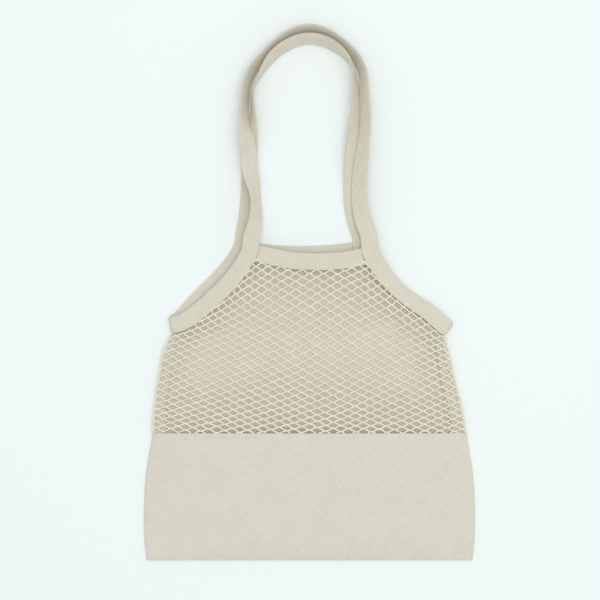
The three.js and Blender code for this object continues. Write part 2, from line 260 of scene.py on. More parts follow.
# ======== meshes ========
class Surface:
    """Gathers grids of points into one mesh with a UV map in metres, named cloth."""

    def __init__(self):
        self.points, self.faces, self.uvs = [], [], []
        self.count = 0

    def grid(self, points, u, v, closed=False, capped=False):
        """Adds rows of points. closed joins each row's end to its start, and capped fills both ends."""
        rows, columns = points.shape[:2]
        u, v = np.broadcast_arrays(np.reshape(u, (rows, -1)), np.reshape(v, (-1, columns + closed)))
        index = np.arange(rows * columns).reshape(rows, columns) + self.count
        wrapped = np.hstack([index, index[:, :1]]) if closed else index
        last_row, last_column = wrapped.shape[0] - 1, wrapped.shape[1] - 1
        around = ((0, 0), (0, 1), (1, 1), (1, 0))
        picks = [(slice(r, last_row + r), slice(c, last_column + c)) for r, c in around]
        self.faces += np.stack([wrapped[p] for p in picks], axis=-1).reshape(-1, 4).tolist()
        self.uvs.append(np.stack([np.stack([u[p], v[p]], axis=-1) for p in picks], axis=-2).reshape(-1, 2))
        self.points.append(points.reshape(-1, 3))
        self.count += rows * columns
        if capped:
            for row in (0, rows - 1):
                self.faces.append(index[row].tolist())
                self.uvs.append(np.stack([u[row, :columns], v[row, :columns]], axis=-1))

    def shell(self, grid, thick, u, v):
        """Adds a closed sheet whose upper face is the grid."""
        rows, columns = grid.shape[:2]
        start, size = self.count, rows * columns
        self.grid(grid, u, v)
        self.grid(grid - thick * normals(grid), u, v)
        top = np.arange(size).reshape(rows, columns)
        rim = np.concatenate([top[0, :-1], top[:-1, -1], top[-1, :0:-1], top[:0:-1, 0]])
        after = np.roll(rim, -1)
        self.faces += (np.stack([rim, after, after + size, rim + size], axis=-1) + start).tolist()
        flat = np.stack([np.broadcast_to(a, (rows, columns)).ravel() for a in (u, v)], axis=-1)
        self.uvs.append(flat[np.stack([rim, after, after, rim], axis=-1).ravel()])

    def made(self, name, material, crease=50):
        mesh = bpy.data.meshes.new(name)
        mesh.from_pydata(on_table(np.concatenate(self.points)), [], self.faces)
        layer = mesh.uv_layers.new(name="cloth")
        layer.data.foreach_set("uv", np.concatenate(self.uvs).astype(np.float32).ravel())
        bm = bmesh.new()
        bm.from_mesh(mesh)
        bmesh.ops.remove_doubles(bm, verts=bm.verts, dist=1e-7)
        bmesh.ops.recalc_face_normals(bm, faces=bm.faces)
        bm.to_mesh(mesh)
        bm.free()
        mesh.materials.append(material)
        mesh.set_sharp_from_angle(angle=math.radians(crease))
        piece = bpy.data.objects.new(name, mesh)
        bpy.context.scene.collection.objects.link(piece)
        return piece


def on_table(points):
    """The points, with those that would sink into the table pressed flat against it."""
    z = points[:, 2]
    pressed = PRESSED * np.exp(np.minimum(z - PRESSED, 0) / PRESSED)
    return np.column_stack([points[:, :2], np.where(z < PRESSED, pressed, z)])


def normals(grid):
    """Upward normals of a grid whose rows follow each other along Y and whose columns run along X."""
    return unit(np.cross(np.gradient(grid, axis=1), np.gradient(grid, axis=0)))


# ======== materials ========
class Shader:
    """A Principled material and short calls for the nodes that drive it."""

    def __init__(self, name, roughness, sheen):
        self.material = bpy.data.materials.new(name)
        self.material.use_nodes = True
        self.tree = self.material.node_tree
        self.surface = self.tree.nodes["Principled BSDF"]
        self.surface.inputs["Roughness"].default_value = roughness
        self.surface.inputs["Sheen Weight"].default_value = sheen
        self.surface.inputs["Sheen Roughness"].default_value = 0.55
        self.surface.inputs["Specular IOR Level"].default_value = 0.18
        self.uv = self.put("UVMap", uv_map="cloth").outputs["UV"]
        parts = self.put("SeparateXYZ")
        self.join(self.uv, parts.inputs[0])
        self.u, self.v = parts.outputs[0], parts.outputs[1]

    def put(self, kind, **settings):
        node = self.tree.nodes.new("ShaderNode" + kind)
        for key, value in settings.items():
            setattr(node, key, value)
        return node

    def join(self, value, target):
        if isinstance(value, bpy.types.NodeSocket):
            self.tree.links.new(value, target)
        else:
            target.default_value = value

    def math(self, operation, *values):
        node = self.put("Math", operation=operation)
        for value, target in zip(values, node.inputs):
            self.join(value, target)
        return node.outputs[0]

    def times(self, a, b):
        return self.math("MULTIPLY", a, b)

    def plus(self, a, b):
        return self.math("ADD", a, b)

    def wave(self, distance, pitch):
        """From -1 to 1, with a ridge each pitch."""
        return self.math("SINE", self.times(distance, 2 * math.pi / pitch))

    def cloud(self, across, along_it, detail=2.0):
        """Noise from 0 to 1 whose spots are that long across U and along V."""
        stretched = self.put("Mapping")
        self.join(self.uv, stretched.inputs["Vector"])
        stretched.inputs["Scale"].default_value = (1 / across, 1 / along_it, 1)
        found = self.put("TexNoise", noise_dimensions="2D")
        self.join(stretched.outputs[0], found.inputs["Vector"])
        found.inputs["Scale"].default_value = 1.0
        found.inputs["Detail"].default_value = detail
        return found.outputs[0]

    def mix(self, factor, a, b):
        node = self.put("Mix", data_type="RGBA")
        self.join(factor, node.inputs[0])
        for value, target in ((a, node.inputs[6]), (b, node.inputs[7])):
            self.join((*value, 1.0) if isinstance(value, tuple) else value, target)
        return node.outputs[2]

    def ramp(self, value, low, high):
        """0 where the value is below low, 1 above high."""
        node = self.put("MapRange", interpolation_type="SMOOTHSTEP")
        for item, target in zip((value, low, high), node.inputs):
            self.join(item, target)
        return node.outputs[0]

    def finish(self, colour, height, depth):
        """Paints the colour and raises the surface by height, from 0 to 1, times depth."""
        self.join(colour, self.surface.inputs["Base Color"])
        bump = self.put("Bump")
        bump.inputs["Distance"].default_value = depth
        bump.inputs["Strength"].default_value = 1.0
        self.join(height, bump.inputs["Height"])
        self.join(bump.outputs[0], self.surface.inputs["Normal"])
        return self.material


def shade(colour, factor):
    return tuple(c * factor for c in colour)


def tinted(shader, colour, height, threads, flecks=0.0):
    """Cotton's own colour, thread by thread and in faint blotches, with painted shade that makes it darker
    between the threads, where the surface is low.
    """
    blotch = shader.cloud(30 * MM, 30 * MM, 3.0)
    tone_and_shade = shader.plus(shader.times(blotch, 0.12), shader.times(threads, 0.5))
    # painted shade: the lower the surface, the darker the colour
    tone_and_shade = shader.plus(tone_and_shade, shader.times(height, 0.38))
    painted = shader.mix(tone_and_shade, shade(colour, 0.7), shade(colour, 1.26))
    if flecks:
        spots = shader.ramp(shader.cloud(1.3 * MM, 0.9 * MM, 1.0), 0.74, 0.8)
        painted = shader.mix(shader.times(spots, flecks), painted, shade(colour, 0.5))
    return painted


def canvas_cloth(name, colour, pitch=0.95 * MM):
    """Plain weave: threads over and under each other, some of them thicker."""
    s = Shader(name, 0.92, 0.25)
    warp, weft = s.wave(s.u, 2 * pitch), s.wave(s.v, 2 * pitch)
    crossing = s.times(s.times(warp, weft), 0.5)
    round_threads = s.times(s.plus(s.math("ABSOLUTE", warp), s.math("ABSOLUTE", weft)), 0.25)
    slubs = s.plus(s.cloud(0.8 * MM, 9 * MM), s.cloud(9 * MM, 0.8 * MM))
    height = s.plus(s.times(s.plus(crossing, round_threads), 0.6), s.times(slubs, 0.25))
    return s.finish(tinted(s, colour, height, s.times(slubs, 0.5), 0.5), height, 0.16 * MM)


def twill_tape(name, colour, pitch=1.35 * MM):
    """Diagonal ridges of thread, crossed by finer ones."""
    s = Shader(name, 0.9, 0.25)
    ridge = s.wave(s.plus(s.u, s.v), pitch)
    fine = s.wave(s.plus(s.u, s.times(s.v, -0.8)), 0.6 * pitch)
    threads = s.cloud(9 * MM, 0.8 * MM)
    grain = s.cloud(1.6 * MM, 1.3 * MM, 2.0)
    height = s.plus(s.times(ridge, 0.3), s.plus(s.times(fine, 0.1), s.times(s.plus(threads, grain), 0.4)))
    return s.finish(tinted(s, colour, height, s.times(s.plus(threads, grain), 0.5), 0.4), height, 0.3 * MM)


def twisted_yarn(name, colour, around, pitch, depth):
    """Plies that turn round the yarn, with a little fuzz; around is the yarn's girth."""
    s = Shader(name, 0.95, 0.35)
    plies = s.math("ABSOLUTE", s.wave(s.plus(s.u, s.times(s.v, pitch / around)), 2 * pitch))
    fuzz = s.cloud(0.35 * MM, 0.35 * MM, 3.0)
    height = s.plus(s.times(plies, 0.7), s.times(fuzz, 0.3))
    return s.finish(tinted(s, colour, height, s.cloud(14 * MM, 3 * MM)), height, depth)


def painted_floor():
    """A matt sweep of pale paper."""
    s = Shader("paper", 0.75, 0.0)
    grain = s.cloud(3 * MM, 3 * MM)
    return s.finish(s.mix(grain, (0.835, 0.88, 0.86), (0.855, 0.895, 0.875)), grain, 0.02 * MM)


CANVAS = canvas_cloth("cotton_canvas", (0.69, 0.65, 0.55))
# The back panel is the same canvas as the front, painted lighter to make up for the shade that the net over
# it casts.
PAINTED_LIGHTER_CANVAS = canvas_cloth("canvas_painted_lighter", (0.74, 0.70, 0.595))
TAPE = twill_tape("twill_tape", (0.745, 0.69, 0.565))
YARN = twisted_yarn("cotton_yarn", (0.815, 0.75, 0.61), 2 * math.pi * YARN_RADIUS, 1.5 * MM, 0.25 * MM)
THREAD = twisted_yarn("sewing_thread", (0.76, 0.71, 0.6), 2 * math.pi * THREAD_RADIUS, 0.5 * MM, 0.06 * MM)


# ======== folded tape ========
# One side of the tape's section, from its open edge to its fold: [across, height] in half widths and
# half thicknesses. The stitches pull it down at the two grooves.
SECTION = [[-1.0, 0.8], [-0.97, 0.95], [-0.9, 1.0], [-0.83, 1.0], [-0.77, 1.0], [-0.71, 1.0], [-0.4, 1.04],
           [0.0, 1.06], [0.4, 1.04], [0.71, 1.0], [0.77, 1.0], [0.83, 1.0], [0.9, 0.98], [0.95, 0.84],
           [0.985, 0.5], [1.0, 0.0]]
GROOVES = {4: 0.2, 10: 0.12}  # place in the section: how far a stitch pulls it in, in half thicknesses
INNER_FOLD = -0.35  # how deep the tape is open, in half widths


class Tape:
    """A folded tape along a route: open edge inward, fold outward."""

    def __init__(self, rows, seed, gap=BINDING_GAP, turned=0.0):
        self.rows = rows
        self.s = along(rows)
        self.gap = np.broadcast_to(gap, len(rows))
        self.turned = np.broadcast_to(turned, len(rows))
        self.seed = seed

    def part(self, first, last):
        """The stretch of the tape between two of its rows."""
        kept = slice(first, last + 1)
        cut = Tape(self.rows[kept], self.seed, self.gap[kept], self.turned[kept])
        cut.s = self.s[kept]
        return cut

    def place(self, across, height):
        """Points at these distances from the middle line; a turned tape bends down towards its fold."""
        wave = 0.22 * MM * ripple(self.s, 0.0, 11 * MM, self.seed)[:, None]
        lift = 0.25 * MM * ripple(self.s, 5.0, 30 * MM, self.seed + 1)[:, None]
        across = across + wave
        bend = self.turned[:, None] / (2 * HALF_WIDTH)
        reach = across + HALF_WIDTH
        level = np.where(bend > 1e-6, np.sin(reach * bend) / np.maximum(bend, 1e-6), reach)
        drop = np.where(bend > 1e-6, (1 - np.cos(reach * bend)) / np.maximum(bend, 1e-6), 0.0)
        level = level - HALF_WIDTH + height * np.sin(reach * bend)
        rise = height * np.cos(reach * bend) - drop + lift
        middle, outward, upward = (self.rows[:, None, i:i + 3] for i in (0, 3, 6))
        return middle + level[..., None] * outward + rise[..., None] * upward

    def section(self):
        """Across and height of every point round the section, for every row."""
        pull = np.abs(np.cos(np.pi * self.s / STITCH_LENGTH))
        half = np.tile(np.array(SECTION), (len(self.rows), 1, 1))
        for place, depth in GROOVES.items():
            half[:, place, 1] -= depth * pull
        half *= [HALF_WIDTH, HALF_THICK]
        inside = self.gap[:, None] / 2
        lip = half[:, :1] * [1, 0] + np.stack([0 * inside, inside], axis=-1)
        deep = lip * [-INNER_FOLD, 1]
        upper = np.concatenate([deep, lip, half], axis=1)
        lower = (upper * [1, -1])[:, -2::-1]
        return np.concatenate([upper, lower], axis=1)

    def made(self, name, node, material):
        points = self.section()
        round_it = np.linalg.norm(np.diff(points, axis=1, append=points[:, :1]), axis=2)
        v = np.concatenate([np.zeros((len(points), 1)), np.cumsum(round_it, axis=1)], axis=1)
        surface = Surface()
        surface.grid(self.place(points[..., 0], points[..., 1]), self.s, v, closed=True, capped=True)
        return finished(surface.made(name, material), "tape", node)

    def stitched(self, name, node, insets, faces=(1, -1)):
        """Rows of separate stitches, on both faces, at these distances from the tape's open edge."""
        surface = Surface()
        for across in insets:
            for face in faces:
                self.add_stitches(surface, across - HALF_WIDTH, face)
        return finished(surface.made(name, THREAD), "thread", node)

    def add_stitches(self, surface, across, face):
        count = int((self.s[-1] - self.s[0]) / STITCH_LENGTH)
        share = np.linspace(0, 1, 7)
        angles = np.linspace(0, 2 * np.pi, 7)[:-1]
        for i in range(count):
            start = self.s[0] + (i + 0.5) * STITCH_LENGTH + 0.2 * MM
            stops = start + share * (STITCH_LENGTH - 0.5 * MM)
            if stops[-1] > self.s[-1]:
                break
            rows = np.stack([np.interp(stops, self.s, column) for column in self.rows.T], axis=1)
            line = Tape(rows, self.seed, turned=np.interp(stops, self.s, self.turned))
            line.s = stops
            arch = np.sin(np.pi * share) ** 0.7
            radius = THREAD_RADIUS * (0.45 + 0.55 * arch)[:, None]
            height = face * (HALF_THICK * 0.88 + 0.24 * MM * arch[:, None]) + radius * np.sin(angles)
            ring = line.place(across + radius * np.cos(angles), height)
            around = np.linspace(0, 2 * np.pi * THREAD_RADIUS, 7)
            surface.grid(ring, stops, around, closed=True, capped=True)


def finished(piece, slot, *nodes):
    """Hides the CAD nodes that the piece stands for and gives the piece back. The slot is not used."""
    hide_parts(*nodes)
    return piece


def joint(name):
    return next(j for j in frame["joints"] if j["name"] == name)


def let_go(piece, side):
    """Bakes the piece's place into its mesh."""
    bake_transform(piece)


def loop_tape(layer, hinge, seed, right_turn):
    """A binding, the handle and the other binding as one tape, and the handle's first and last rows."""
    left = route(layer + "_left_binding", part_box(layer + "_left_binding")[0])
    handle = route(layer + "_handle_strap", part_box(layer + "_handle_strap")[0])
    low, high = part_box(layer + "_right_binding")
    right = route(layer + "_right_binding", (low.x, high.y, high.z))
    rows = evenly(np.concatenate([left, handle, right]), TAPE_STEP)
    rows = squared(softened(rows, ROUTE_SOFT))
    upper = np.flatnonzero(rows[:, 1] > hinge - HINGE_BEFORE)
    first, last = int(upper[0]), int(upper[-1])
    place = np.arange(len(rows))
    on_handle = smoothstep(place, first - GAP_ROWS, first + GAP_ROWS)
    on_handle = on_handle * (1 - smoothstep(place, last - GAP_ROWS, last + GAP_ROWS))
    gap = BINDING_GAP + (HANDLE_GAP - BINDING_GAP) * on_handle
    share = np.clip((place - last) / (len(rows) - 1 - last), 0, 1)
    turned = right_turn * np.sin(np.pi * share) ** 2
    return Tape(rows, seed, gap, turned), first, last


def add_loop(layer, base, seed, right_turn=0.0):
    """The bindings and the handle of the front or the back, with their stitches."""
    swing = joint(layer + "_handle_swing")
    hinge = swing["pos_m"][1]
    tape, first, last = loop_tape(layer, hinge, seed, right_turn)
    if layer == "back":
        share = np.arange(len(tape.rows)) / len(tape.rows)
        shoulder = np.exp(-((share - SHOULDER_AT) / SHOULDER_SPREAD) ** 2)
        tape.rows[:, :2] += SHOULDER * shoulder[:, None] * unit(tape.rows[:, 3:5])
    edges = (STITCH_INSET, 2 * HALF_WIDTH - STITCH_INSET)
    for side, name, part in ((-1, "_left_binding", tape.part(0, first)),
                             (1, "_right_binding", tape.part(last, len(tape.rows) - 1))):
        for piece in (part.made(layer + name, layer + name, TAPE),
                      part.stitched(layer + name + "_stitches", layer + name + "_stitching", edges[:1])):
            if base == "front":
                let_go(piece, side)
            else:
                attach(piece, base)
    part = tape.part(first, last)
    for piece in (part.made(layer + "_handle", layer + "_handle_strap", TAPE),
                  part.stitched(layer + "_handle_stitches", layer + "_handle_stitching", edges)):
        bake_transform(piece)
    return tape


def add_corner(side, front, back):
    """The tape turning round the edge of the bag, from the front binding's end to the back one's."""
    steps = np.linspace(0, 1, 17)[:, None]
    ends = [t.rows[0] if side < 0 else t.rows[-1] for t in (front, back)]
    inner = [t.rows[4] if side < 0 else t.rows[-5] for t in (front, back)]
    away = [unit(end[:3] - before[:3]) for end, before in zip(ends, inner)]
    pull = CORNER_PULL * abs(ends[0][2] - ends[1][2])
    weights = (2 * steps**3 - 3 * steps**2 + 1, steps**3 - 2 * steps**2 + steps,
               3 * steps**2 - 2 * steps**3, steps**3 - steps**2)
    knots = (ends[0][:3], away[0] * pull, ends[1][:3], -away[1] * pull)
    middle = sum(w * k for w, k in zip(weights, knots))
    outward = ends[0][3:6] * (1 - steps) + ends[1][3:6] * steps
    rows = squared(np.hstack([middle, outward, outward]), start_up=UP)
    rows[:, 3:6] *= 1 - CORNER_NARROWER * np.sin(np.pi * steps)
    word = "left" if side < 0 else "right"
    piece = Tape(rows, 31 + side).made(word + "_corner", word + "_corner_wrap", TAPE)
    bulge(piece, ends, Vector(away[0] * [1, 1, 0]))
    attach(piece, "root")


def bulge(piece, ends, away):
    """Moves a corner wrap's fold away from the bag at its middle and towards it at its two ends."""
    low, high = sorted(end[2] for end in ends)
    for vertex in piece.data.vertices:
        place = np.array(vertex.co)
        across = (place - ends[0][:3]) @ unit(ends[0][3:6] * [1, 1, 0]) / HALF_WIDTH
        turned = math.sin(math.pi * min(max((place[2] - low) / (high - low), 0), 1))
        vertex.co += away * (CORNER_BULGE * (1 - 2 * min(abs(across), 1) ** 4) * turned)


def add_band(layer, body, seed):
    """The tape across the mouth, with its fold at the top."""
    node = layer + "_top_band"
    rows = evenly(route(node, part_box(node)[0]), TAPE_STEP)
    rows = squared(softened(rows, ROUTE_SOFT))
    s = along(rows)
    at_end = np.exp(-(np.minimum(s, s[-1] - s) / (1.6 * MM)) ** 2)
    rows[:, 2] -= BAND_DROP * (1 + 2 * at_end)
    tape = Tape(rows, seed)
    for piece in (tape.made(layer + "_band", node, TAPE),
                  tape.stitched(layer + "_band_stitches", node + "_stitching", (STITCH_INSET,))):
        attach(piece, body)


# ======== panels ========
def spread(count, crowding=0.55):
    """From 0 to 1, closer together at both ends."""
    t = np.linspace(0, 1, count)
    return (1 - crowding) * t + crowding * (0.5 - 0.5 * np.cos(np.pi * t))


def across_rows(edges, y, count, reach=0.0):
    """Rows of X from a panel's left edge to its right one, each reaching that much further out."""
    left = side_x(edges["left"], y) - reach
    right = side_x(edges["right"], y) + reach
    return left[:, None] + (right - left)[:, None] * spread(count)


def half_width(y):
    """Half the bag's width between its side seams, which the crown of the front follows."""
    low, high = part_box("front_canvas_panel")
    wide = (high.x - low.x) / 2
    narrow = 2 * HALF_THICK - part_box("left_corner_wrap")[1].x
    return wide + (narrow - wide) * smoothstep(y, high.y - NARROWING, CORNER_Y)


def front_height(x, y):
    """Height of the underside of the front cloth over the table."""
    low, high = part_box("front_canvas_panel")
    seam = low.z
    lift = high.z - CLOTH - seam
    crown = 1 - np.minimum(np.abs(x) / half_width(y), 1) ** 4
    rise = 1 - (1 - np.clip((y - low.y) / FRONT_RISE, 0, 1)) ** 2
    return seam + lift * crown * rise


def rounded(distance, reach):
    """0 at an edge, rising like a quarter circle to 1 at that distance from it."""
    t = 1 - np.clip(distance / reach, 0, 1)
    return np.sqrt(np.maximum(1 - t * t, 0))


def pocket_top(x, y, from_edge):
    """Height of the pocket's upper face, before its creases."""
    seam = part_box("left_side_seam")[0].z
    return seam + (front_height(x, y) + CLOTH - seam) * rounded(from_edge, EDGE_ROUND)


def pressed_under(z, room):
    """Heights z, bent to stay below room without a corner."""
    return np.minimum(z, room - 0.1 * MM) - 0.1 * MM * np.exp(-np.abs(room - z) / (0.4 * MM))


def add_front_canvas():
    """The pocket across the lower front: one sheet whose top edge turns under as a hem."""
    edges = outline("front_canvas_panel")
    low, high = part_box("front_canvas_panel")
    y = low.y + (high.y - low.y) * spread(POCKET_POINTS[0], 0.3)
    x = across_rows(edges, y, POCKET_POINTS[1])
    at_foot = 1 - smoothstep(y, low.y, low.y + 20 * MM)
    y = y[:, None] + 0.5 * MM * ripple(x, 0.0, 60 * MM, 3) * at_foot[:, None]
    side = np.minimum(x - x[:, :1], x[:, -1:] - x)
    from_edge = np.minimum(side, y - low.y)
    pucker = 0.22 * MM * ripple(side * 0.4, y, 9 * MM, 5) * np.exp(-side / (14 * MM))
    creases = 0.5 * MM * ripple(x, y, 70 * MM, 6) + 0.22 * MM * ripple(x + 0.6 * y, y * 0.5, 24 * MM, 7)
    z = pocket_top(x, y, from_edge) + (pucker + creases) * smoothstep(from_edge, 0, 12 * MM)
    sheet = np.stack([x, y, z], axis=-1)
    angles = np.linspace(0, np.pi, 7)[1:]
    fold = [sheet[-1] + [0, HEM_TURN * np.sin(a), HEM_TURN * (np.cos(a) - 1)] for a in angles]
    under = [fold[-1] - [0, depth, 0] for depth in np.linspace(0, HEM_DEPTH, 7)[1:]]
    grid = np.concatenate([sheet, fold, under])
    flat_y = along(grid[:, grid.shape[1] // 2])
    surface = Surface()
    surface.shell(grid, CLOTH, grid[..., 0], np.broadcast_to(flat_y[:, None], grid.shape[:2]))
    piece = finished(surface.made("front_canvas", CANVAS), "canvas", "front_canvas_panel", "canvas_top_hem")
    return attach(piece, "root")


def add_back_canvas(net):
    """The whole back of the bag, from the bottom seam to the tapes round the mouth."""
    edges = outline("back_panel")
    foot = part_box("back_panel")[0].y
    mouth = edges["left"][-1, 1]
    rows_below, rows_above, columns = BACK_POINTS
    to_corner = foot + (CORNER_Y - foot) * spread(rows_below, 0.1)
    y = np.concatenate([to_corner, np.linspace(CORNER_Y, mouth + TUCK, rows_above)[1:]])
    scoop = on_scoop(y)
    inset = np.interp(y, [POCKET_Y, CORNER_Y], NET_INSET) * smoothstep(y, POCKET_Y - 8 * MM, POCKET_Y)
    inset = (SEAM_INSET + inset) * (1 - 0.8 * near_corner(y))
    x = across_rows(edges, y, columns, TUCK * scoop - inset * (1 - scoop))
    sag = mouth - np.interp(x, edges["high"][:, 0], edges["high"][:, 1])
    plan_y = y[:, None] - sag * smoothstep(y, CORNER_Y, mouth)[:, None]
    from_side = np.minimum(x - x[:, :1], x[:, -1:] - x)
    in_tape = smoothstep(from_side, 12 * MM, 4 * MM) * scoop[:, None]
    in_tape = np.maximum(in_tape, smoothstep(y, mouth - 6 * MM, mouth)[:, None])
    at_seam = (1 - rounded(from_side, 3 * MM)) * (1 - scoop[:, None])
    waves = 0.9 * MM * (ripple(x, plan_y, 55 * MM, 11) + 0.4 * ripple(x, plan_y, 21 * MM, 12) + 0.6)
    net_low, net_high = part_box("front_net")
    middle = np.sin(np.pi * np.clip((plan_y - net_low.y) / (net_high.y - net_low.y), 0, 1)) ** 1.3
    swell = BACK_RISE * middle * smoothstep(from_side, 14 * MM, 60 * MM)
    free = smoothstep(from_side, 2 * MM, 25 * MM) * (1 - in_tape)
    z = CLOTH + (waves.clip(0) * 0.3 + swell) * free + in_tape * 0.5 * MM + at_seam * 0.1 * MM
    room = np.where(plan_y > net.low, net.underside(x, plan_y) - UNDER_NET, 1.0)
    surface = Surface()
    surface.shell(np.stack([x, plan_y, pressed_under(z, room)], axis=-1), CLOTH, x, plan_y)
    # the back panel takes the canvas painted lighter against the shade under the net
    piece = finished(surface.made("back_canvas", PAINTED_LIGHTER_CANVAS), "canvas", "back_panel")
    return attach(piece, "root")


def add_seam_allowance(word, net):
    """The raw edges of a side seam, turned to the inside and overlocked."""
    node = word + "_side_seam"
    low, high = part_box(node)
    rows = evenly(route(node, (low.x if word == "left" else high.x, low.y, low.z)), 2.0 * MM)
    beyond = rows[-1] + np.arange(1, 7)[:, None] * (rows[-1] - rows[-2])
    rows = squared(softened(np.concatenate([rows, beyond]), 4))
    s = along(rows)
    inward = 1 if rows[0, 3] > 0 else -1
    inward *= 1 if word == "left" else -1
    share = np.linspace(0, 1, 12)
    outer = np.interp(s, [s[-1] - 30 * MM, s[-1] - 8 * MM], ALLOWANCE_OUTER)[:, None]
    reach = outer + (ALLOWANCE_INNER - outer) * share
    wander = 0.8 * MM * ripple(s, 0.0, 18 * MM, 21)[:, None] * share
    place = (reach + wander) * inward
    lift = 0.35 * MM * (1 + ripple(s[:, None], reach, 15 * MM, 22)) * share
    lift = lift + ALLOWANCE_LIFT * share ** 1.5
    points = rows[:, None, :3] + place[..., None] * rows[:, None, 3:6] + lift[..., None] * rows[:, None, 6:9]
    x, y = points[..., 0], points[..., 1]
    in_pocket = np.abs(side_x(outline("front_canvas_panel")[word], y) - x)
    room = np.where(y > net.low, net.height(x, y) - YARN_RADIUS, pocket_top(x, y, in_pocket) - CLOTH)
    points[..., 2] = pressed_under(points[..., 2], room - UNDER_NET)
    if word == "right":
        points = points[:, ::-1]
    surface = Surface()
    surface.shell(points, CLOTH, points[..., 0], points[..., 1])
    piece = finished(surface.made(word + "_seam_allowance", CANVAS), "canvas", node)
    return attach(piece, "root")


def add_bottom_allowance():
    """The raw edges of the bottom seam, turned to the inside."""
    low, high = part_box("bottom_seam")
    x = np.tile(np.linspace(low.x, high.x, 100), (7, 1))
    y = low.y + (high.y - low.y) * np.linspace(0, 1, 7)[:, None] + 0.6 * MM * ripple(x, 0.0, 20 * MM, 23)
    z = high.z + 0 * x
    surface = Surface()
    surface.shell(np.stack([x, y, z], axis=-1), CLOTH, x, y)
    piece = finished(surface.made("bottom_seam_allowance", CANVAS), "canvas", "bottom_seam")
    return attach(piece, "root")


def add_hem_stitches():
    """The row of stitches that holds the hem, on the outside of the pocket."""
    rows = evenly(route("canvas_hem_stitching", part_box("canvas_hem_stitching")[0]), TAPE_STEP)
    rows = squared(softened(rows, 3))
    rows[:, 2] = front_height(rows[:, 0], rows[:, 1]) + CLOTH - HALF_THICK + 0.1 * MM
    row = Tape(rows, 41)
    piece = row.stitched("canvas_hem_stitches", "canvas_hem_stitching", (HALF_WIDTH,), faces=(1,))
    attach(piece, "root")


# ======== net ========
def fallen(x, falls):
    """How far a row has fallen by each X, measured from the middle of the bag."""
    places = np.linspace(-0.25, 0.25, 101)
    slope = np.interp(places, ROW_PLACES, falls)
    total = np.concatenate([[0], np.cumsum((slope[1:] + slope[:-1]) / 2 * np.diff(places))])
    return np.interp(x, places, total - np.interp(0, places, total))


